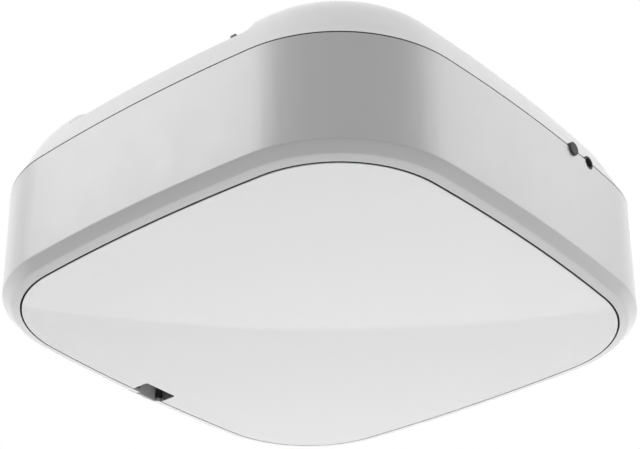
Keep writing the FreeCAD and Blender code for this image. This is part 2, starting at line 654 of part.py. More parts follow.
def gearbox():
    low = GEAR_Z - GEARBOX_HALF_H
    high = GEAR_Z + GEARBOX_HALF_H - LID_T
    out_r = GEARBOX_R + GEARBOX_WALL
    worm_x = (-MOTOR_X[0] + 2.0, MOTOR_X[0] - 2.0)
    body = post(SHAFT_X, SHAFT_Y, low, high, out_r)
    body = body.fuse(box(worm_x[0], worm_x[1], WORM_Y - WORM_CASE_R, WORM_Y + WORM_CASE_R, low, high))
    for x, y in standoff_places():
        body = body.fuse(post(x, y, low, high, STANDOFF_R))
    inside = post(SHAFT_X, SHAFT_Y, GEAR_Z - WHEEL_W / 2.0 - 4.0, high + 1.0, GEARBOX_R)
    inside = inside.fuse(rod_x(worm_x[0] + 6.0, worm_x[1] - 4.0, WORM_Y, GEAR_Z, WORM_TIP_R + GEARBOX_CLEAR))
    body = body.cut(inside)
    body = body.cut(rod_x(worm_x[0] - 1.0, worm_x[1] + 1.0, WORM_Y, GEAR_Z, MOTOR_SHAFT_R + BUSH_WALL + 0.1))
    body = body.cut(post(SHAFT_X, SHAFT_Y, low - 1.0, high, SHAFT_R + BUSH_WALL + 0.1))
    for x, y in standoff_places():
        body = body.cut(post(x, y, high - 10.0, high + 1.0, SCREW_R + PILOT_GAP))
    keep("gearbox_housing", body.removeSplitter())
    lid = post(SHAFT_X, SHAFT_Y, high, high + LID_T, out_r)
    lid = lid.fuse(box(worm_x[0], worm_x[1], WORM_Y - WORM_CASE_R, WORM_Y + WORM_CASE_R, high, high + LID_T))
    for x, y in standoff_places():
        lid = lid.fuse(post(x, y, high, high + LID_T, STANDOFF_R))
    lid = lid.cut(post(SHAFT_X, SHAFT_Y, high - 1.0, high + LID_T + 1.0, SHAFT_R + 1.5))
    for x, y in standoff_places():
        lid = lid.cut(post(x, y, high - 1.0, high + LID_T + 1.0, SCREW_R + PILOT_GAP))
    keep("gearbox_lid", lid.removeSplitter())
    lid_top = high + LID_T
    posts = []
    for x, y in standoff_places():
        ring = post(x, y, lid_top, CHANNEL_FLOOR, STANDOFF_R)
        posts.append(ring.cut(post(x, y, lid_top - 1.0, CHANNEL_FLOOR + 1.0, SCREW_R + PILOT_GAP)))
        SCREWS.append(screw(x, y, DECK_TOP, DECK_TOP - high + 8.0))
    group("gearbox_standoffs", posts)
    bushes = [shaft_bush(low, BUSH_H), shaft_bush(DECK_TOP - BUSH_H + 0.2, BUSH_H)]
    for x0, x1 in ((worm_x[0], worm_x[0] + 5.0), (worm_x[1] - 3.5, worm_x[1])):
        ring = rod_x(x0, x1, WORM_Y, GEAR_Z, MOTOR_SHAFT_R + BUSH_WALL)
        bushes.append(ring.cut(rod_x(x0 - 1.0, x1 + 1.0, WORM_Y, GEAR_Z, MOTOR_SHAFT_R + BEARING_FIT)))
    group("shaft_bushes", bushes)


def worm():
    """Single-start right-hand worm on the armature's axis, one thread crossing x = 0 at its +Y side."""
    turns = 5
    length = turns * THREAD_PITCH
    start = -length / 2.0
    path = Part.makeHelix(THREAD_PITCH, length, WORM_ROOT_R)
    sunk = 0.3
    root = WORM_ROOT_R - sunk
    root_half = THREAD_HALF + FLANK * (WORM_PITCH_R - root)
    tip_half = THREAD_HALF - FLANK * (WORM_TIP_R - WORM_PITCH_R)
    section = Part.makePolygon([V(root, 0, -root_half), V(WORM_TIP_R, 0, -tip_half),
                                V(WORM_TIP_R, 0, tip_half), V(root, 0, root_half), V(root, 0, -root_half)])
    thread = Part.Wire(path).makePipeShell([section], True, True)
    thread.rotate(V(0, 0, 0), V(0, 0, 1), 180.0 * (turns % 2))
    core = Part.makeCylinder(WORM_ROOT_R, length + 8.0, V(0, 0, -4.0), V(0, 0, 1))
    solid = core.fuse(thread)
    solid.rotate(V(0, 0, 0), V(0, 1, 0), 90.0)
    solid.rotate(V(0, 0, 0), V(1, 0, 0), 90.0)
    solid.translate(V(SHAFT_X + start, WORM_Y, GEAR_Z))
    hole = rod_x(SHAFT_X + start - 6.0, SHAFT_X - start + 6.0, WORM_Y, GEAR_Z, MOTOR_SHAFT_R)
    keep("worm", solid.cut(hole))


def motor():
    x0, x1 = MOTOR_X
    can = rod_x(x0, x1, WORM_Y, GEAR_Z, MOTOR_R)
    can = can.cut(rod_x(x0 + MOTOR_WALL, x1 + 1.0, WORM_Y, GEAR_Z, MOTOR_R - MOTOR_WALL))
    can = can.cut(rod_x(x0 - 1.0, x0 + 3.0, WORM_Y, GEAR_Z, MOTOR_SHAFT_R + 1.5))
    keep("motor_can", can)
    magnets = []
    outer = rod_x(CORE_X[0] - 3.0, CORE_X[1] + 3.0, WORM_Y, GEAR_Z, MOTOR_R - MOTOR_WALL - 0.05)
    ring = outer.cut(rod_x(CORE_X[0] - 4.0, CORE_X[1] + 4.0, WORM_Y, GEAR_Z, MAGNET_R))
    split = box(CORE_X[0] - 5.0, CORE_X[1] + 5.0, WORM_Y - MOTOR_R, WORM_Y + MOTOR_R,
                GEAR_Z - 7.0, GEAR_Z + 7.0)
    for solid in ring.cut(split).Solids:
        magnets.append(solid)
    group("motor_magnets", magnets)
    cap = rod_x(x1, x1 + END_CAP_T, WORM_Y, GEAR_Z, MOTOR_R)
    boss = rod_x(x1 - 6.0, x1, WORM_Y, GEAR_Z, MOTOR_R - MOTOR_WALL - 0.1)
    boss = boss.cut(rod_x(x1 - 7.0, x1, WORM_Y, GEAR_Z, COMMUTATOR_R + 2.0))
    cap = cap.fuse(boss).cut(rod_x(x1 - 7.0, x1 + END_CAP_T + 1.0, WORM_Y, GEAR_Z, MOTOR_SHAFT_R + BEARING_FIT))
    keep("motor_end_cap", cap.removeSplitter())
    brushes = []
    for side in (-1.0, 1.0):
        y0, y1 = sorted((WORM_Y + side * (COMMUTATOR_R + 0.15), WORM_Y + side * (MOTOR_R - MOTOR_WALL - 1.0)))
        brushes.append(box(COMMUTATOR_X[0] + 3.0, COMMUTATOR_X[1] - 3.0, y0, y1, GEAR_Z - 3.0, GEAR_Z + 3.0))
    group("motor_brushes", brushes)
    shaft_end = x1 + END_CAP_T + 6.0
    keep("motor_shaft", rod_x(-MOTOR_X[0] + 2.0, shaft_end, WORM_Y, GEAR_Z, MOTOR_SHAFT_R))
    core = rod_x(CORE_X[0], CORE_X[1], WORM_Y, GEAR_Z, CORE_R)
    for k in range(8):
        angle = 2.0 * math.pi * (k + 0.5) / 8.0
        y = WORM_Y + CORE_R * math.cos(angle)
        z = GEAR_Z + CORE_R * math.sin(angle)
        core = core.cut(rod_x(CORE_X[0] - 1.0, CORE_X[1] + 1.0, y, z, 3.0))
    core = core.cut(rod_x(CORE_X[0] - 1.0, CORE_X[1] + 1.0, WORM_Y, GEAR_Z, MOTOR_SHAFT_R))
    keep("armature_core", core)
    ring = rod_x(COMMUTATOR_X[0], COMMUTATOR_X[1], WORM_Y, GEAR_Z, COMMUTATOR_R)
    bore = rod_x(COMMUTATOR_X[0] - 1.0, COMMUTATOR_X[1] + 1.0, WORM_Y, GEAR_Z, MOTOR_SHAFT_R)
    keep("commutator", ring.cut(bore))
    disc_x = x1 + END_CAP_T + 3.0
    disc = rod_x(disc_x, disc_x + DISC_T, WORM_Y, GEAR_Z, DISC_R)
    for k in range(12):
        angle = 2.0 * math.pi * k / 12.0
        y = WORM_Y + (DISC_R - 2.6) * math.cos(angle)
        z = GEAR_Z + (DISC_R - 2.6) * math.sin(angle)
        disc = disc.cut(rod_x(disc_x - 1.0, disc_x + 2.0, y, z, 1.3))
    disc = disc.cut(rod_x(disc_x - 1.0, disc_x + 2.0, WORM_Y, GEAR_Z, MOTOR_SHAFT_R))
    keep("speed_disc", disc)
    arm_y = WORM_Y - DISC_R + 3.0
    sensor = box(x1 + END_CAP_T, disc_x + DISC_T + 2.6, arm_y - 9.0, arm_y, GEAR_Z - 5.0, GEAR_Z + 5.0)
    sensor = sensor.cut(box(disc_x - 0.8, disc_x + DISC_T + 0.8, arm_y - 4.5, arm_y + 1.0,
                            GEAR_Z - 6.0, GEAR_Z + 6.0))
    keep("speed_sensor", sensor)
    saddle_x = (60.0, 84.0)
    saddle = box(saddle_x[0], saddle_x[1], WORM_Y - 20.0, WORM_Y + 20.0, PLATE_TOP, GEAR_Z - 10.0)
    saddle = saddle.cut(rod_x(saddle_x[0] - 1.0, saddle_x[1] + 1.0, WORM_Y, GEAR_Z, MOTOR_R + 0.1))
    saddle = saddle.cut(box(saddle_x[0] - 1.0, saddle_x[1] + 1.0, WORM_Y - 16.0, WORM_Y + 16.0,
                            PLATE_TOP + 3.0, GEAR_Z - MOTOR_R - 6.0))
    keep("motor_saddle", saddle)


# ---------------------------------------------------------------------------------------------
# light lens, hanger and latch
# ---------------------------------------------------------------------------------------------

def notch_box(grow, z0, z1):
    half = NOTCH_W / 2.0 + grow
    return box(-LENS_HALF - 5.0, NOTCH_IN_X + grow, NOTCH_Y - half, NOTCH_Y + half, z0, z1)


def light_lens():
    body = slab(0.0, 0.0, LENS_T)
    wall = slab(LENS_WALL_OFF, LENS_T, LENS_WALL_Z)
    wall = wall.cut(slab(LENS_WALL_OFF - LENS_WALL_T, LENS_T - 1.0, LENS_WALL_Z + 1.0))
    around = notch_box(LENS_WALL_T, LENS_T, LENS_WALL_Z).common(slab(LENS_WALL_OFF, LENS_T, LENS_WALL_Z))
    wall = wall.fuse(around)
    ear_low, ear_high = ARM_W / 2.0 + EAR_GAP, ARM_W / 2.0 + EAR_GAP + EAR_T
    for y in both([HINGE_Y]):
        wall = wall.cut(box(HINGE_X, LENS_HALF + 5.0, y - ear_high - 3.0, y + ear_high + 3.0,
                            LENS_T, LENS_WALL_Z + 1.0))
    body = body.fuse(wall)
    half = NOSE_W / 2.0 + 2.0
    tall = NOSE_Z[1] + LATCH_CLEAR + 2.0
    catch = box(NOTCH_IN_X, NOTCH_IN_X + CATCH_WALL_T, TAB_Y - half, TAB_Y + half, LENS_T, tall)
    ledge = box(NOTCH_IN_X - CATCH_REACH, NOTCH_IN_X, TAB_Y - half, TAB_Y + half, tall - 2.0, tall)
    notch_corner = plate(-LENS_HALF - 9.0, NOTCH_IN_X, NOTCH_Y - NOTCH_W / 2.0, NOTCH_Y + NOTCH_W / 2.0,
                         -1.0, LENS_WALL_Z + 1.0, 1.5)
    body = body.cut(notch_corner).fuse(catch).fuse(ledge)
    for y in both([HINGE_Y]):
        for side in (-1.0, 1.0):
            y0, y1 = sorted((y + side * ear_low, y + side * ear_high))
            knuckle = rod_y(HINGE_X, y0, y1, HINGE_Z, HINGE_EYE_R)
            foot = box(HINGE_X - HINGE_EYE_R, HINGE_X + HINGE_EYE_R, y0, y1, LENS_T, HINGE_Z)
            body = body.fuse(knuckle).fuse(foot)
            body = body.cut(rod_y(HINGE_X, y0 - 0.1, y1 + 0.1, HINGE_Z, HINGE_PIN_R + HINGE_PIN_FIT))
    keep("light_lens", body.removeSplitter())


def hanger():
    pieces = []
    pins = []
    half = ARM_W / 2.0
    for y in both([HINGE_Y]):
        arm = box(HINGE_X - ARM_T / 2.0, HINGE_X + ARM_T / 2.0, y - half, y + half, HINGE_Z, ARM_TOP)
        arm = arm.fuse(rod_y(HINGE_X, y - half, y + half, HINGE_Z, HINGE_EYE_R))
        pieces.append(arm.cut(rod_y(HINGE_X, y - half - 1.0, y + half + 1.0, HINGE_Z, HINGE_PIN_R)))
        reach = half + EAR_GAP + EAR_T
        pins.append(rod_y(HINGE_X, y - reach, y + reach, HINGE_Z, HINGE_PIN_R))
    pieces.append(plate(HINGE_X - 6.0, HINGE_X + 6.0, -HINGE_Y - half - 4.0, HINGE_Y + half + 4.0,
                        ARM_TOP, ARM_TOP + HANGER_BAR_T, 3.0))
    keep("lens_hanger", joined(pieces))
    group("hinge_pins", pins)
    guides = []
    for y in both([HINGE_Y]):
        slot_x = ARM_T / 2.0 + ARM_CLEAR
        slot_y = half + ARM_CLEAR
        body = box(HINGE_X - slot_x - GUIDE_WALL, HINGE_X + slot_x + GUIDE_WALL,
                   y - slot_y - GUIDE_WALL, y + slot_y + GUIDE_WALL, PLATE_TOP, GUIDE_TOP)
        guides.append(body.cut(box(HINGE_X - slot_x, HINGE_X + slot_x, y - slot_y, y + slot_y,
                                   PLATE_TOP - 1.0, GUIDE_TOP + 1.0)))
    group("hinge_guides", guides)


def latch():
    half = TAB_W / 2.0
    mid_x = TAB_X - TAB_T / 2.0
    tab = box(TAB_X - TAB_T, TAB_X, TAB_Y - half, TAB_Y + half, TAB_LOW, TAB_TOP - 2.0)
    eye_r = 2.4
    eye = rod_y(mid_x, TAB_Y - half, TAB_Y + half, LATCH_PIN_Z, eye_r)
    nose_tip = NOTCH_IN_X - CATCH_REACH - LATCH_CLEAR
    nose = box(TAB_X, nose_tip, TAB_Y - NOSE_W / 2.0, TAB_Y + NOSE_W / 2.0, NOSE_Z[0], NOSE_Z[1])
    lever = tab.fuse(eye).fuse(nose)
    lever = lever.cut(rod_y(mid_x, TAB_Y - half - 1.0, TAB_Y + half + 1.0, LATCH_PIN_Z,
                            LATCH_PIN_R + LATCH_PIN_FIT))
    keep("latch_lever", lever.removeSplitter())
    reach = half + CHEEK_GAP + CHEEK_T
    keep("latch_pin", rod_y(mid_x, TAB_Y - reach, TAB_Y + reach, LATCH_PIN_Z, LATCH_PIN_R))
    coil = rod_y(mid_x, TAB_Y + half + 0.3, TAB_Y + half + 1.5, LATCH_PIN_Z, 2.2)
    bore = rod_y(mid_x, TAB_Y + half, TAB_Y + half + 2.0, LATCH_PIN_Z, LATCH_PIN_R + 0.1)
    keep("latch_spring", coil.cut(bore))


# ---------------------------------------------------------------------------------------------
# light: reflector, boards, chips, control panel and battery cover
# ---------------------------------------------------------------------------------------------

def reflector():
    top = REFLECTOR_Z + REFLECTOR_T
    outer = taper(REFLECTOR_RIM_OFF, REFLECTOR_RIM_Z, REFLECTOR_IN_OFF, top)
    inner = taper(REFLECTOR_RIM_OFF - REFLECTOR_T, REFLECTOR_RIM_Z, REFLECTOR_IN_OFF - REFLECTOR_T, REFLECTOR_Z)
    body = outer.cut(inner)
    for y in both([HINGE_Y]):
        half = ARM_W / 2.0 + EAR_T + 3.0
        body = body.cut(box(HINGE_X - 10.0, HINGE_X + 20.0, y - half, y + half,
                            REFLECTOR_RIM_Z - 1.0, top + 1.0))
    half = NOSE_W / 2.0 + 5.0
    body = body.cut(box(-LENS_HALF - 2.0, NOTCH_IN_X + 8.0, TAB_Y - half, TAB_Y + half,
                        REFLECTOR_RIM_Z - 1.0, REFLECTOR_Z - 0.5))
    inset = PANEL_WALL
    body = body.cut(box(PANEL_X[0] + inset, PANEL_X[1] - inset, PANEL_Y[0] + inset, PANEL_Y[1] - inset,
                        REFLECTOR_Z - 1.0, top + 1.0))
    body = body.cut(battery_door(REFLECTOR_Z - 1.0, top + 1.0))
    for x, y in battery_cover_screw_places():
        body = body.cut(post(x, y, REFLECTOR_Z - 1.0, top + 1.0, SCREW_R + PILOT_GAP))
    keep("reflector", body)


def battery_cover_screw_places():
    edge = BATTERY_DOOR_LIP / 2.0
    return [(x, y) for x in (BATTERY_COVER_X[0] + 3.0 * edge, BATTERY_COVER_X[1] - 3.0 * edge)
            for y in (BATTERY_COVER_Y[0] + edge, BATTERY_COVER_Y[1] - edge)]


def battery_cover():
    low = REFLECTOR_Z - 2.0
    body = plate(BATTERY_COVER_X[0], BATTERY_COVER_X[1], BATTERY_COVER_Y[0], BATTERY_COVER_Y[1],
                 low, REFLECTOR_Z, 3.0)
    for x, y in battery_cover_screw_places():
        body = body.cut(post(x, y, low - 1.0, REFLECTOR_Z + 1.0, SCREW_R + PILOT_GAP))
    keep("battery_cover", body)
    SCREWS.extend(screw(x, y, low, 3.8, up=True) for x, y in battery_cover_screw_places())


def lights():
    boards = []
    chips = []
    for y in LED_ROWS_Y:
        low = REFLECTOR_Z - LED_BOARD_T
        boards.append(box(LED_BOARD_X[0], LED_BOARD_X[1], y - LED_BOARD_W / 2.0, y + LED_BOARD_W / 2.0,
                          low, REFLECTOR_Z))
        step = (LED_BOARD_X[1] - LED_BOARD_X[0]) / LED_PER_ROW
        for k in range(LED_PER_ROW):
            x = LED_BOARD_X[0] + (k + 0.5) * step
            chips.append(box(x - LED_SIZE / 2.0, x + LED_SIZE / 2.0, y - LED_SIZE / 2.0, y + LED_SIZE / 2.0,
                             low - LED_T, low))
    group("led_boards", boards)
    group("led_chips", chips)


def control_panel():
    wall = PANEL_WALL
    body = plate(PANEL_X[0], PANEL_X[1], PANEL_Y[0], PANEL_Y[1], PANEL_Z, REFLECTOR_Z, 4.0)
    body = body.cut(box(PANEL_X[0] + wall, PANEL_X[1] - wall, PANEL_Y[0] + wall, PANEL_Y[1] - wall,
                        PANEL_Z + wall, REFLECTOR_Z + 1.0))
    for _, radius, y in BUTTONS:
        body = body.cut(post(BUTTON_X, y, PANEL_Z - 1.0, PANEL_Z + wall + 1.0, radius + BUTTON_CLEAR))
    keep("control_panel", body)
    switches = []
    for name, radius, y in BUTTONS:
        cap = post(BUTTON_X, y, PANEL_Z - BUTTON_OUT, PANEL_Z + wall + 0.1, radius)
        flange = post(BUTTON_X, y, PANEL_Z + wall + 0.1, PANEL_Z + wall + 0.1 + BUTTON_FLANGE_T,
                      radius + BUTTON_FLANGE)
        stem = post(BUTTON_X, y, PANEL_Z + wall, BOARD_Z - SWITCH_H - BUTTON_TRAVEL - 0.3, STEM_R)
        keep(name, joined([cap, flange, stem]))
        switches.append(box(BUTTON_X - 3.0, BUTTON_X + 3.0, y - 3.0, y + 3.0, BOARD_Z - SWITCH_H, BOARD_Z))
    group("button_switches", switches)


# ---------------------------------------------------------------------------------------------
# electronics, battery and wires
# ---------------------------------------------------------------------------------------------

def board_post_places(xs, ys):
    return [(x, y) for x in (xs[0] + 5.0, xs[1] - 5.0) for y in (ys[0] + 5.0, ys[1] - 5.0)]


def boards():
    posts = []
    for name, xs, ys in (("logic_board", LOGIC_X, LOGIC_Y), ("power_board", POWER_X, POWER_Y)):
        board = plate(xs[0], xs[1], ys[0], ys[1], BOARD_Z, BOARD_TOP, 2.0)
        for x, y in board_post_places(xs, ys):
            board = board.cut(post(x, y, BOARD_Z - 1.0, BOARD_TOP + 1.0, SCREW_R + PILOT_GAP))
            posts.append(post(x, y, PLATE_TOP, BOARD_Z, 3.5).cut(
                post(x, y, BOARD_Z - 5.0, BOARD_Z + 1.0, SCREW_R + PILOT_GAP)))
        keep(name, board)
    group("board_posts", posts)
    places = board_post_places(LOGIC_X, LOGIC_Y) + board_post_places(POWER_X, POWER_Y)
    SCREWS.extend(screw(x, y, BOARD_TOP, BOARD_T + 4.0) for x, y in places)
    card = box(LOGIC_X[0] + 8.0, LOGIC_X[0] + 30.0, LOGIC_Y[1] - 44.0, LOGIC_Y[1] - 14.0,
               BOARD_TOP, BOARD_TOP + 4.0)
    antenna = post(LOGIC_X[0] + 19.0, LOGIC_Y[1] - 34.0, BOARD_TOP + 4.0, BOARD_TOP + 40.0, 2.6)
    keep("radio_module", joined([card, antenna]))
    relays = []
    for y in (LOGIC_Y[0] + 26.0, LOGIC_Y[0] + 48.0):
        relays.append(box(LOGIC_X[0] + 10.0, LOGIC_X[0] + 29.0, y - 8.0, y + 8.0, BOARD_TOP, BOARD_TOP + 16.0))
    group("relays", relays)
    x, y = LOGIC_X[1] - 16.0, LOGIC_Y[0] + 22.0
    beeper = post(x, y, BOARD_TOP, BOARD_TOP + 9.0, 8.0)
    keep("beeper", beeper.cut(post(x, y, BOARD_TOP + 6.0, BOARD_TOP + 10.0, 1.5)))
    y_mid = 0.5 * (POWER_Y[0] + POWER_Y[1])
    core = box(-60.0, -14.0, y_mid - 19.0, y_mid + 19.0, BOARD_TOP + 4.0, BOARD_TOP + 38.0)
    for x in (-53.0, -30.0):
        core = core.cut(box(x, x + 9.0, y_mid - 20.0, y_mid + 20.0, BOARD_TOP + 11.0, BOARD_TOP + 31.0))
    keep("transformer_core", core)
    limb_x = (-44.0, -30.0)
    coil = box(limb_x[0] - 8.7, limb_x[1] + 8.7, y_mid - 27.5, y_mid + 27.5, BOARD_TOP + 11.3, BOARD_TOP + 30.7)
    limb = box(limb_x[0] - 0.2, limb_x[1] + 0.2, y_mid - 19.2, y_mid + 19.2, BOARD_TOP + 10.0, BOARD_TOP + 32.0)
    keep("transformer_winding", coil.cut(limb))
    cans = []
    for x, y, radius, height in ((8.0, y_mid - 12.0, 8.0, 30.0), (8.0, y_mid + 12.0, 8.0, 30.0),
                                 (28.0, y_mid - 14.0, 5.0, 18.0), (28.0, y_mid + 2.0, 5.0, 18.0)):
        cans.append(post(x, y, BOARD_TOP, BOARD_TOP + height, radius))
    group("capacitors", cans)
    fins = [box(40.0, 62.0, y_mid - 20.0, y_mid + 20.0, BOARD_TOP, BOARD_TOP + 3.0)]
    for k in range(7):
        x = 40.0 + k * 20.5 / 6.0
        fins.append(box(x, x + 1.5, y_mid - 20.0, y_mid + 20.0, BOARD_TOP, BOARD_TOP + 22.0))
    keep("heat_sink", joined(fins))


def battery():
    x0, x1 = BATTERY_X
    y0, y1 = BATTERY_Y
    z0, z1 = BATTERY_Z
    pack = [plate(x0, x1, y0, y1, z0, z1, 3.0)]
    for x in (x0 + 14.0, x0 + 30.0):
        pack.append(box(x - 3.0, x + 3.0, y0 + 10.0, y0 + 10.8, z1, z1 + 5.0))
    keep("battery_pack", joined(pack))
    gap = 0.5
    out = gap + TRAY_T
    tray = plate(x0 - out, x1 + out, y0 - out, y1 + out, PLATE_TOP, z0 + 18.0, 3.0)
    tray = tray.cut(box(x0 - gap, x1 + gap, y0 - gap, y1 + gap, z0, z0 + 19.0))
    tray = tray.cut(battery_door(PLATE_TOP - 1.0, z0 + 1.0))
    keep("battery_tray", tray)


def wire_fittings():
    def wall_x(y, z):
        """Outside of the shells at the seam, on the +X side."""
        return LENS_HALF + SEAM_OFF - y * y / (2.0 * SIDE_R)

    face = wall_x(GLAND_Y, SEAM_Z)
    body = rod_x(face - FITTING_IN, face + GLAND_OUT, GLAND_Y, SEAM_Z, GLAND_R)
    flange = rod_x(face - FITTING_IN, face - FITTING_IN + 2.0, GLAND_Y, SEAM_Z, GLAND_R + FITTING_FLANGE)
    keep("cord_gland", body.fuse(flange).removeSplitter())
    face = wall_x(GROMMET_Y, SEAM_Z)
    body = rod_x(face - FITTING_IN, face + GROMMET_OUT, GROMMET_Y, SEAM_Z, GROMMET_R)
    flange = rod_x(face - FITTING_IN, face - FITTING_IN + 2.0, GROMMET_Y, SEAM_Z, GROMMET_R + FITTING_FLANGE)
    body = body.fuse(flange)
    keep("wire_grommet", body.cut(rod_x(face - FITTING_IN - 1.0, face + 2.0, GROMMET_Y, SEAM_Z,
                                        GROMMET_BORE_R)).removeSplitter())
    x0, y0 = TERMINAL_XY
    pitch = TERMINAL_PITCH
    block = box(x0, x0 + 12.0, y0, y0 + 4.0 * pitch, PLATE_TOP, PLATE_TOP + 14.0)
    for k in range(4):
        y = y0 + (k + 0.5) * pitch
        block = block.cut(rod_x(x0 + 6.0, x0 + 13.0, y, PLATE_TOP + 5.0, 1.5))
        block = block.cut(post(x0 + 3.5, y, PLATE_TOP + 9.0, PLATE_TOP + 15.0, 2.0))
    keep("terminal_block", block)
    front = CLIP_IN - LENS_HALF
    keep("wire_clip", box(CLIP_X[0], CLIP_X[1], front, front + CLIP_LONG,
                          CHANNEL_FLOOR, CHANNEL_FLOOR + CLIP_TALL))


# ---------------------------------------------------------------------------------------------
# fasteners of the shells and frame
# ---------------------------------------------------------------------------------------------

def screws():
    SCREWS.extend(screw(x, y, PLATE_TOP, PLATE_T + LEDGE_DEEP - 1.0) for x, y, _ in ledge_places())
    SCREWS.extend(screw(x, y, DECK_TOP, DECK_T + WALL + FRAME_T) for x, y in frame_screw_places())
    SCREWS.extend(screw(x, y, PLATE_TOP + FRAME_T, FRAME_T + PLATE_T - 0.2) for x, y in foot_places())
    group("case_screws", SCREWS)


BUILDERS = [lower_skirt, upper_cover, top_deck, chassis_frame, base_plate, rail_bracket, sprocket_guard,
            output_train, gearbox, worm, motor, light_lens, hanger, latch, reflector, battery_cover,
            lights, control_panel, boards, battery, wire_fittings, screws]

for build in BUILDERS:
    build()

os.makedirs("parts", exist_ok=True)
for name, shape in PIECES.items():
    shape.translate(V(0, 0, -DECK_TOP))
    shape.exportStep("parts/" + name + ".step")
    print(name, len(shape.Solids), round(shape.Volume / 1000.0, 2), shape.isValid())
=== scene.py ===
"""Looks of the ceiling power head: shells with soft edges, a glossy light lens, and plain studio light."""
import json
import math

import bmesh
import bpy
from mathutils import Matrix, Vector


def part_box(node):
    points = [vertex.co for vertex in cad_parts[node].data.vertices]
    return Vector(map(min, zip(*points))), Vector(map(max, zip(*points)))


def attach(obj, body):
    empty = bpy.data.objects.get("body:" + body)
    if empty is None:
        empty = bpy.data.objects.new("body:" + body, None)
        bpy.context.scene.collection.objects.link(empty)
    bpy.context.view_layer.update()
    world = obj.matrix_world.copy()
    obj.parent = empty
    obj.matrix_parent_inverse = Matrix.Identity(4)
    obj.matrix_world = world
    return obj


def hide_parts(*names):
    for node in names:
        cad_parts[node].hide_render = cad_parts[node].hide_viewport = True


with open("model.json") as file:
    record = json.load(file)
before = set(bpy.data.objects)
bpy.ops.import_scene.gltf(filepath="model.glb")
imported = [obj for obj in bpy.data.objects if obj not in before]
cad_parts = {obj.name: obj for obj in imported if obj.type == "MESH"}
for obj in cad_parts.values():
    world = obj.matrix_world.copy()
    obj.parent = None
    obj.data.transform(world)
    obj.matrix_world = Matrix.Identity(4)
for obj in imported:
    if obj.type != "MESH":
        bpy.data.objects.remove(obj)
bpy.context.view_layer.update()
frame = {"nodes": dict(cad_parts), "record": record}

MM = 0.001

# ---- sizes, in metres, read from the frame or repeated from the design ----
LENS_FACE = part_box("light_lens")[0].z
LENS_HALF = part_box("light_lens")[1].x
SEAM_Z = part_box("lower_skirt")[1].z
SEAM_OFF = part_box("lower_skirt")[1].x - LENS_HALF
SIDE_R = 1136 * MM         # radius of a bowed side
CORNER_R = 73.7 * MM       # radius of a lens corner
RIM_UP, BAND_UP = 1.9 * MM, 7.9 * MM     # lower and upper edge of the chamfer over the lens face
RIM_ROUND, BAND_ROUND = 0.8 * MM, 0.7 * MM
SKIRT_JOINT_Y = -30 * MM
SEAM_GAP = 0.8 * MM
FITTING_R = 4.2 * MM       # the seam's strip stops inside the round fittings' walls
NOTCH_Y = (-11 * MM, 16.2 * MM)      # finger notch in the lens's -X edge
# dark sheet painted as shade on the notch's end wall: its size, then its place
NOTCH_SHADE_SIZE = (10.5 * MM, 0.3 * MM, 9.0 * MM)
NOTCH_SHADE_IN, NOTCH_SHADE_UP = 1.25 * MM, 0.4 * MM     # from the lens's edge, and over its face
SIDE_STEPS = 10            # pieces of a bowed side
CORNER_STEPS = 22          # pieces of a round corner


# ---------------------------------------------------------------------------------------------
# materials
# ---------------------------------------------------------------------------------------------

def new_material(name, color, roughness, metallic=0.0):
    """Empty principled material with its constants set on the shader itself."""
    mat = bpy.data.materials.new(name)
    mat.use_nodes = True
    shader = mat.node_tree.nodes["Principled BSDF"]
    shader.inputs["Base Color"].default_value = (*color, 1.0)
    shader.inputs["Roughness"].default_value = roughness
    shader.inputs["Metallic"].default_value = metallic
    return mat, mat.node_tree, shader


def noise(tree, scale, detail=3.0, stretch=(1.0, 1.0, 1.0)):
    """Noise on object coordinates, so it stays on the piece."""
    place = tree.nodes.new("ShaderNodeTexCoord")
    mapping = tree.nodes.new("ShaderNodeMapping")
    mapping.inputs["Scale"].default_value = stretch
    tex = tree.nodes.new("ShaderNodeTexNoise")
    tex.inputs["Scale"].default_value = scale
    tex.inputs["Detail"].default_value = detail
    tree.links.new(place.outputs["Object"], mapping.inputs["Vector"])
    tree.links.new(mapping.outputs["Vector"], tex.inputs["Vector"])
    return tex


def vary(tree, tex, low, high, socket):
    """Lets the noise run a value between low and high."""
    ramp = tree.nodes.new("ShaderNodeMapRange")
    ramp.inputs["From Min"].default_value = 0.3
    ramp.inputs["From Max"].default_value = 0.7
    ramp.inputs["To Min"].default_value = low
    ramp.inputs["To Max"].default_value = high
    tree.links.new(tex.outputs["Fac"], ramp.inputs["Value"])
    tree.links.new(ramp.outputs["Result"], socket)


def tint(tree, tex, shader, color, spread):
    """Small change of the base colour, darker to lighter by spread."""
    mix = tree.nodes.new("ShaderNodeMix")
    mix.data_type = "RGBA"
    mix.inputs["A"].default_value = (*[c * (1.0 - spread) for c in color], 1.0)
    mix.inputs["B"].default_value = (*[min(1.0, c * (1.0 + spread)) for c in color], 1.0)
    tree.links.new(tex.outputs["Fac"], mix.inputs["Factor"])
    tree.links.new(mix.outputs["Result"], shader.inputs["Base Color"])


def bump(tree, tex, shader, strength, distance):
    """Fine surface relief from the noise."""
    node = tree.nodes.new("ShaderNodeBump")
    node.inputs["Strength"].default_value = strength
    node.inputs["Distance"].default_value = distance
    tree.links.new(tex.outputs["Fac"], node.inputs["Height"])
    tree.links.new(node.outputs["Normal"], shader.inputs["Normal"])


def moulded(name, color, roughness, grain=0.05, spread=0.02, coat=0.0):
    """Injection-moulded plastic: a fine spark texture, and gloss that wanders a little."""
    mat, tree, shader = new_material(name, color, roughness)
    tint(tree, noise(tree, 9.0), shader, color, spread)
    vary(tree, noise(tree, 60.0), roughness * 0.9, roughness * 1.1, shader.inputs["Roughness"])
    bump(tree, noise(tree, 2600.0, 2.0), shader, grain, 0.02 * MM)
    shader.inputs["Coat Weight"].default_value = coat
    shader.inputs["Coat Roughness"].default_value = 0.08
    return mat


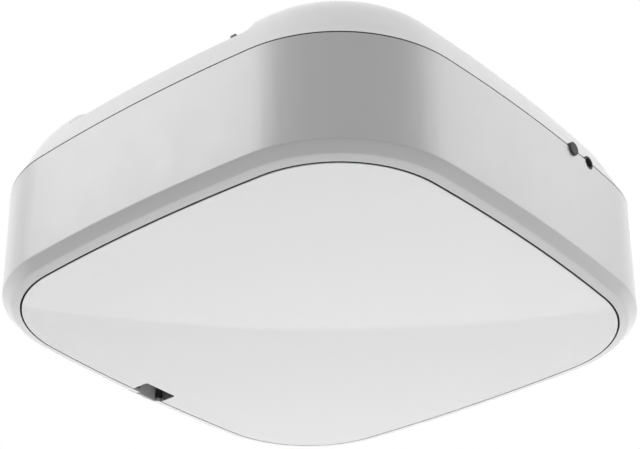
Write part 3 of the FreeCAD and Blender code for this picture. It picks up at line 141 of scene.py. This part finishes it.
def metal(name, color, roughness, stretch=(1.0, 1.0, 1.0), spread=0.06):
    """Bare or plated metal with fine drawn lines along the axis that stretch leaves low."""
    mat, tree, shader = new_material(name, color, roughness, 1.0)
    tint(tree, noise(tree, 24.0), shader, color, spread)
    lines = noise(tree, 700.0, 4.0, stretch)
    vary(tree, lines, roughness * 0.75, roughness * 1.25, shader.inputs["Roughness"])
    bump(tree, lines, shader, 0.15, 0.02 * MM)
    return mat


def circuit(name, color):
    """Solder mask over copper tracks: thin lighter lines in blocks."""
    mat, tree, shader = new_material(name, color, 0.35)
    place = tree.nodes.new("ShaderNodeTexCoord")
    brick = tree.nodes.new("ShaderNodeTexBrick")
    brick.inputs["Scale"].default_value = 160.0
    brick.inputs["Mortar Size"].default_value = 0.03
    brick.inputs["Color1"].default_value = (*color, 1.0)
    brick.inputs["Color2"].default_value = (*[c * 1.15 for c in color], 1.0)
    brick.inputs["Mortar"].default_value = (*[min(1.0, c * 1.9) for c in color], 1.0)
    tree.links.new(place.outputs["Object"], brick.inputs["Vector"])
    tree.links.new(brick.outputs["Color"], shader.inputs["Base Color"])
    bump(tree, noise(tree, 900.0), shader, 0.1, 0.02 * MM)
    return mat


def lens_plastic():
    """Opal acrylic: white body under a clear glossy skin."""
    color = (0.77, 0.77, 0.78)
    mat, tree, shader = new_material("lens_opal", color, 0.30)
    tint(tree, noise(tree, 5.0), shader, color, 0.008)
    bump(tree, noise(tree, 14.0, 1.0), shader, 0.03, 0.3 * MM)
    shader.inputs["Coat Weight"].default_value = 1.0
    shader.inputs["Coat Roughness"].default_value = 0.02
    shader.inputs["Coat IOR"].default_value = 1.5
    shader.inputs["Subsurface Weight"].default_value = 0.15
    shader.inputs["Subsurface Radius"].default_value = (0.004, 0.004, 0.004)
    return mat


def band_paint():
    """Satin silver-white lacquer of the lower skirt: a soft metallic flake under a thin coat."""
    color = (0.62, 0.62, 0.625)
    mat, tree, shader = new_material("skirt_lacquer", color, 0.36, 0.4)
    tint(tree, noise(tree, 7.0), shader, color, 0.012)
    vary(tree, noise(tree, 90.0), 0.34, 0.38, shader.inputs["Roughness"])
    bump(tree, noise(tree, 3200.0, 2.0), shader, 0.05, 0.02 * MM)
    shader.inputs["Coat Weight"].default_value = 0.25
    shader.inputs["Coat Roughness"].default_value = 0.25
    return mat


MATERIALS = {
    "cover_white": moulded("cover_white", (0.91, 0.91, 0.915), 0.40, 0.06, 0.008),
    "skirt_grey": band_paint(),
    "lens_white": lens_plastic(),
    "zinc_steel": metal("zinc_steel", (0.62, 0.63, 0.65), 0.36, (1.0, 1.0, 1.0), 0.10),
    "shaft_steel": metal("shaft_steel", (0.56, 0.57, 0.59), 0.22, (1.0, 1.0, 0.06)),
    "black_plastic": moulded("black_plastic", (0.025, 0.025, 0.027), 0.48, 0.2),
    "grey_plastic": moulded("grey_plastic", (0.12, 0.12, 0.125), 0.45, 0.15),
    "latch_grey": moulded("latch_grey", (0.48, 0.48, 0.485), 0.42, 0.1),
    "gear_nylon": moulded("gear_nylon", (0.78, 0.76, 0.68), 0.40, 0.08, 0.03),
    "cast_case": metal("cast_case", (0.58, 0.59, 0.60), 0.50, (1.0, 1.0, 1.0), 0.05),
    "motor_paint": moulded("motor_paint", (0.03, 0.03, 0.033), 0.28, 0.05, 0.02, 0.3),
    "magnet": moulded("magnet", (0.06, 0.06, 0.065), 0.55, 0.3),
    "copper": metal("copper", (0.72, 0.36, 0.20), 0.30, (1.0, 0.05, 1.0)),
    "bronze": metal("bronze", (0.52, 0.36, 0.18), 0.45),
    "laminations": metal("laminations", (0.30, 0.31, 0.33), 0.45, (0.02, 1.0, 1.0)),
    "board_green": circuit("board_green", (0.015, 0.12, 0.045)),
    "board_white": circuit("board_white", (0.70, 0.70, 0.68)),
    "led_yellow": moulded("led_yellow", (0.90, 0.72, 0.12), 0.25, 0.02),
    "rubber": moulded("rubber", (0.06, 0.06, 0.062), 0.62, 0.4, 0.04),
    "button_grey": moulded("button_grey", (0.32, 0.33, 0.35), 0.32, 0.06, 0.02, 0.2),
    "button_yellow": moulded("button_yellow", (0.80, 0.52, 0.03), 0.32, 0.06, 0.02, 0.2),
    "battery_blue": moulded("battery_blue", (0.03, 0.04, 0.06), 0.40, 0.15),
    "screw_steel": metal("screw_steel", (0.66, 0.66, 0.68), 0.24),
}


# ---------------------------------------------------------------------------------------------
# mesh helpers
# ---------------------------------------------------------------------------------------------

def smooth(mesh, degrees=35.0):
    """Smooth shading with the edges sharper than the given angle kept crisp."""
    bm = bmesh.new()
    bm.from_mesh(mesh)
    for face in bm.faces:
        face.smooth = True
    for edge in bm.edges:
        edge.smooth = len(edge.link_faces) == 2 and edge.calc_face_angle(0.0) < math.radians(degrees)
    bm.to_mesh(mesh)
    bm.free()


def soften(obj, width, segments=2, angle=32.0):
    """Small rounds on the piece's hard edges."""
    mod = obj.modifiers.new("edge_rounds", "BEVEL")
    mod.width = width
    mod.segments = segments
    mod.limit_method = "ANGLE"
    mod.angle_limit = math.radians(angle)
    mod.harden_normals = True
    mod.miter_outer = "MITER_ARC"
    return mod


def clean_copy(node, flat=0.4):
    """Welded copy of a frame piece's mesh, its flat triangles joined into whole faces."""
    bm = bmesh.new()
    bm.from_mesh(frame["nodes"][node].data)
    bmesh.ops.remove_doubles(bm, verts=bm.verts[:], dist=2e-6)
    bmesh.ops.dissolve_degenerate(bm, dist=1e-6, edges=bm.edges[:])
    if node == "lower_skirt":
        whole_skirt(bm)
    bmesh.ops.dissolve_limit(bm, angle_limit=math.radians(flat), use_dissolve_boundaries=False,
                             verts=bm.verts[:], edges=bm.edges[:], delimit={"NORMAL"})
    mesh = bpy.data.meshes.new(node + "_mesh")
    bm.to_mesh(mesh)
    bm.free()
    smooth(mesh)
    return mesh


def refined(node, body, slot, width=0.3 * MM, segments=2):
    """Finished piece that stands for a frame piece: same shape, with rounded edges and a real finish."""
    obj = bpy.data.objects.new(node + "_finished", clean_copy(node))
    bpy.context.scene.collection.objects.link(obj)
    obj.data.materials.append(MATERIALS[slot])
    if width:
        soften(obj, width, segments)
    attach(obj, body)
    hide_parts(node)
    return obj


# ---------------------------------------------------------------------------------------------
# every frame piece, with its own edge rounds
# ---------------------------------------------------------------------------------------------

EDGE = {"light_lens": 0.5 * MM, "lower_skirt": 0.2 * MM, "upper_cover": 0.25 * MM, "latch_lever": 0.35 * MM,
        "cord_gland": 0.5 * MM, "wire_grommet": 0.4 * MM, "battery_cover": 0.5 * MM, "control_panel": 0.6 * MM,
        "up_button": 0.6 * MM, "adjust_button": 0.6 * MM, "down_button": 0.6 * MM, "learn_button": 0.5 * MM,
        "worm": 0.0, "worm_wheel": 0.15 * MM, "case_screws": 0.2 * MM, "battery_pack": 1.0 * MM,
        "sprocket_guard": 0.8 * MM, "gearbox_housing": 0.8 * MM, "gearbox_lid": 0.8 * MM}


def whole_skirt(bm):
    """Joins the skirt's sections into one moulding and rounds both edges of its chamfer."""
    joints = [f for f in bm.faces if all(abs(v.co.x) < 2e-6 for v in f.verts)
              or all(abs(v.co.y - SKIRT_JOINT_Y) < 2e-6 for v in f.verts)]
    bmesh.ops.delete(bm, geom=joints, context="FACES")
    bmesh.ops.remove_doubles(bm, verts=bm.verts[:], dist=2e-6)
    for up, width in ((RIM_UP, RIM_ROUND), (BAND_UP, BAND_ROUND)):
        ring = [e for e in bm.edges if all(abs(v.co.z - LENS_FACE - up) < 2e-5 for v in e.verts)
                and len(e.link_faces) == 2 and e.calc_face_angle(0.0) > 0.2]
        bmesh.ops.bevel(bm, geom=ring, offset=width, segments=4, profile=0.5, affect="EDGES", material=-1)


def spun_outline(section, base):
    """Closed section of (offset, height) points, spun round the whole outline arc by arc."""
    centre = LENS_HALF - SIDE_R
    gap = SIDE_R - CORNER_R
    corner = (centre + math.sqrt(2.0 * gap * gap - centre * centre)) / 2.0
    turn = math.atan2(corner, corner - centre)
    bm = bmesh.new()
    verts = [bm.verts.new((centre + (SIDE_R + offset) * math.cos(turn), -(SIDE_R + offset) * math.sin(turn),
                           base + up)) for offset, up in section]
    edges = [bm.edges.new(pair) for pair in zip(verts, verts[1:] + verts[:1])]
    last = verts + edges
    for quarter in range(4):
        square = Matrix.Rotation(quarter * math.pi / 2.0, 3, "Z")
        for place, angle, steps in (((centre, 0.0, base), 2.0 * turn, SIDE_STEPS),
                                    ((corner, corner, base), math.pi / 2.0 - 2.0 * turn, CORNER_STEPS)):
            last = bmesh.ops.spin(bm, geom=last, cent=square @ Vector(place), axis=(0, 0, 1), angle=angle,
                                  steps=steps, use_merge=False, use_duplicate=False)["geom_last"]
    bmesh.ops.remove_doubles(bm, verts=bm.verts[:], dist=2e-6)
    bmesh.ops.recalc_face_normals(bm, faces=bm.faces[:])
    return bm


def added(bm, name, body, slot):
    """New piece from a finished bmesh."""
    mesh = bpy.data.meshes.new(name)
    bm.to_mesh(mesh)
    bm.free()
    smooth(mesh)
    mesh.materials.append(MATERIALS[slot])
    obj = bpy.data.objects.new(name, mesh)
    bpy.context.scene.collection.objects.link(obj)
    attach(obj, body)
    return obj


def open_ring(bm, side, gap):
    """Takes the ring's run between two y values out of its -X (side -1) or +X (side 1) edge."""
    def on_side(face):
        return face.calc_center_median().x * side > 0.9 * LENS_HALF

    for y in gap:
        run = [f for f in bm.faces if on_side(f)]
        parts = run + list({e for f in run for e in f.edges}) + list({v for f in run for v in f.verts})
        bmesh.ops.bisect_plane(bm, geom=parts, dist=1e-6, plane_co=(0.0, y, 0.0), plane_no=(0.0, 1.0, 0.0))
    gone = [f for f in bm.faces if on_side(f) and gap[0] < f.calc_center_median().y < gap[1]]
    bmesh.ops.delete(bm, geom=gone, context="FACES")
    bmesh.ops.holes_fill(bm, edges=[e for e in bm.edges if e.is_boundary], sides=4)
    bmesh.ops.recalc_face_normals(bm, faces=bm.faces[:])


def seam_painted_shadow():
    """Dark strip put in the gap between the skirt and the cover as painted shadow, darkening the seam where
    there is only shade.
    """
    out, deep, low, high = SEAM_OFF - 0.05 * MM, SEAM_OFF - 2.2 * MM, -0.15 * MM, SEAM_GAP + 0.15 * MM
    bm = spun_outline([(out, low), (out, high), (deep, high), (deep, low)], SEAM_Z)
    for node in ("cord_gland", "wire_grommet"):
        middle = (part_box(node)[0].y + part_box(node)[1].y) / 2.0
        open_ring(bm, 1, (middle - FITTING_R, middle + FITTING_R))
    return added(bm, "seam_painted_shadow", "head", "black_plastic")


def lens_gap_painted_shadow():
    """Thin dark ring on the lens's edge, painted shadow in the gap round the lens, open at the finger notch.
    """
    low, high, out, deep = 0.45 * MM, 2.5 * MM, 0.3 * MM, -0.1 * MM
    bm = spun_outline([(out, low), (out, high), (deep, high), (deep, low)], LENS_FACE)
    open_ring(bm, -1, NOTCH_Y)
    # the rubber finish only gives this painted shadow its dark colour
    return added(bm, "lens_gap_painted_shadow", "lens", "rubber")


def notch_painted_shade():
    """Dark sheet on the end wall of the finger notch beside the latch, painted shade in the notch's recess."""
    bm = bmesh.new()
    bmesh.ops.create_cube(bm, size=1.0)
    long, thick, tall = NOTCH_SHADE_SIZE
    bmesh.ops.scale(bm, verts=bm.verts[:], vec=NOTCH_SHADE_SIZE)
    bmesh.ops.translate(bm, verts=bm.verts[:],
                        vec=(-LENS_HALF + NOTCH_SHADE_IN + long / 2.0, NOTCH_Y[1] - thick / 2.0,
                             LENS_FACE + NOTCH_SHADE_UP + tall / 2.0))
    return added(bm, "notch_painted_shade", "lens", "grey_plastic")


bodies = frame["record"]["behaviour"]["bodies"]
body_of = {node: body for body, nodes in bodies.items() for node in nodes}
for subpart in frame["record"]["subparts"]:
    name = subpart["node"]
    refined(name, body_of[name], subpart["material_slot"], EDGE.get(name, 0.25 * MM))
# black ring in the skirt-to-cover gap: painted shadow, not a real part
seam_painted_shadow()
# dark ring round the lens's edge: painted shadow in the lens gap
lens_gap_painted_shadow()
# dark sheet on the notch wall: painted shade in the recess
notch_painted_shade()


# ---------------------------------------------------------------------------------------------
# stage, lights and camera
# ---------------------------------------------------------------------------------------------

MIDDLE = (0.0, 0.0, LENS_FACE + 50 * MM)
FLOOR_DOWN = 0.8                     # floor under the lens
FLOOR_MIDDLE, FLOOR_R = (-0.078, 0.099, LENS_FACE - FLOOR_DOWN), 1.414
FLOOR_SPOT = (-0.7, 0.9, LENS_FACE - FLOOR_DOWN)
FLOOR_TONE = (0.48, 0.48, 0.48)
LIGHTS = [    # name, place, aim, size, watts, seen in gloss
    ("left_softbox", (-1.0, -1.35, 1.15), MIDDLE, (1.5, 1.5), 9.3, True),
    ("right_softbox", (1.32, 1.0, 1.15), MIDDLE, (1.5, 1.5), 5.6, True),
    ("top_softbox", (0.0, 0.0, 1.7), MIDDLE, (1.6, 1.6), 2.0, True),
    ("floor_wash", (-0.9, 1.1, 0.5), FLOOR_SPOT, (1.0, 1.0), 40.0, True),
    ("under_softbox", (0.15, 0.35, LENS_FACE - 0.65), MIDDLE, (0.8, 0.8), 1.0, False),
]
CAMERA_PLACE = (0.65417, -0.77688, LENS_FACE - 0.53409)
CAMERA_WAY = (-0.5535, 0.6557, 0.5135)
CAMERA_LENS = 101.7
WORLD_FRONT, WORLD_BACK = 0.66, 1.75     # strength on the dimmer and the brighter side
BRIGHT_WAY = (-0.64, 0.76, 0.0)
SIDE_SPAN = (-0.3, 0.9)             # how far round the brighter side reaches
LOW_SPAN, LOW_SHARE = (-0.54, -0.32), 0.35   # the room dims towards the floor


def floor_disc():
    """Pale round floor well below the hanging head."""
    bm = bmesh.new()
    bmesh.ops.create_circle(bm, cap_ends=True, radius=FLOOR_R, segments=160,
                            matrix=Matrix.Translation(FLOOR_MIDDLE))
    mesh = bpy.data.meshes.new("floor_disc")
    bm.to_mesh(mesh)
    bm.free()
    obj = bpy.data.objects.new("floor_disc", mesh)
    bpy.context.scene.collection.objects.link(obj)
    mat, tree, shader = new_material("floor_pale", FLOOR_TONE, 0.7)
    tint(tree, noise(tree, 3.0), shader, FLOOR_TONE, 0.01)
    mesh.materials.append(mat)


def softbox(name, place, target, size, power, in_gloss):
    """Soft panel light, itself out of sight."""
    data = bpy.data.lights.new(name, "AREA")
    data.shape = "RECTANGLE"
    data.size, data.size_y = size
    data.energy = power
    lamp = bpy.data.objects.new(name, data)
    lamp.location = place
    lamp.rotation_euler = (Vector(target) - Vector(place)).to_track_quat("-Z", "Y").to_euler()
    lamp.visible_camera = False
    lamp.visible_glossy = in_gloss
    bpy.context.scene.collection.objects.link(lamp)


def blend(tree, span, low, high):
    """Smooth change from low to high over a span of its input."""
    node = tree.nodes.new("ShaderNodeMapRange")
    node.interpolation_type = "SMOOTHSTEP"
    node.inputs["From Min"].default_value, node.inputs["From Max"].default_value = span
    node.inputs["To Min"].default_value = low
    node.inputs["To Max"].default_value = high
    return node


def white_room():
    """World that looks white behind the object, and lights it more from one side than from the other."""
    world = bpy.data.worlds.new("white_room")
    world.use_nodes = True
    tree = world.node_tree
    tree.nodes.clear()
    out = tree.nodes.new("ShaderNodeOutputWorld")
    behind = tree.nodes.new("ShaderNodeBackground")
    behind.inputs["Color"].default_value = (1.0, 1.0, 1.0, 1.0)
    around = tree.nodes.new("ShaderNodeBackground")
    place = tree.nodes.new("ShaderNodeTexCoord")
    lean = tree.nodes.new("ShaderNodeVectorMath")
    lean.operation = "DOT_PRODUCT"
    lean.inputs[1].default_value = BRIGHT_WAY
    rise = blend(tree, SIDE_SPAN, WORLD_FRONT, WORLD_BACK)
    tree.links.new(place.outputs["Generated"], lean.inputs[0])
    tree.links.new(lean.outputs["Value"], rise.inputs["Value"])
    height = tree.nodes.new("ShaderNodeSeparateXYZ")
    dim = blend(tree, LOW_SPAN, LOW_SHARE, 1.0)
    strength = tree.nodes.new("ShaderNodeMath")
    strength.operation = "MULTIPLY"
    tree.links.new(place.outputs["Generated"], height.inputs["Vector"])
    tree.links.new(height.outputs["Z"], dim.inputs["Value"])
    tree.links.new(rise.outputs["Result"], strength.inputs[0])
    tree.links.new(dim.outputs["Result"], strength.inputs[1])
    tree.links.new(strength.outputs["Value"], around.inputs["Strength"])
    path = tree.nodes.new("ShaderNodeLightPath")
    mix = tree.nodes.new("ShaderNodeMixShader")
    tree.links.new(path.outputs["Is Camera Ray"], mix.inputs["Fac"])
    tree.links.new(around.outputs["Background"], mix.inputs[1])
    tree.links.new(behind.outputs["Background"], mix.inputs[2])
    tree.links.new(mix.outputs["Shader"], out.inputs["Surface"])
    bpy.context.scene.world = world


floor_disc()
white_room()
for light in LIGHTS:
    softbox(*light)

camera_data = bpy.data.cameras.new("camera")
camera_data.sensor_fit = "HORIZONTAL"
camera_data.sensor_width = 36.0
camera_data.lens = CAMERA_LENS
camera_data.clip_start = 0.01
camera = bpy.data.objects.new("camera", camera_data)
camera.location = CAMERA_PLACE
camera.rotation_euler = Vector(CAMERA_WAY).to_track_quat("-Z", "Y").to_euler()
bpy.context.scene.collection.objects.link(camera)
bpy.context.scene.camera = camera
bpy.context.scene.view_settings.view_transform = "Standard"
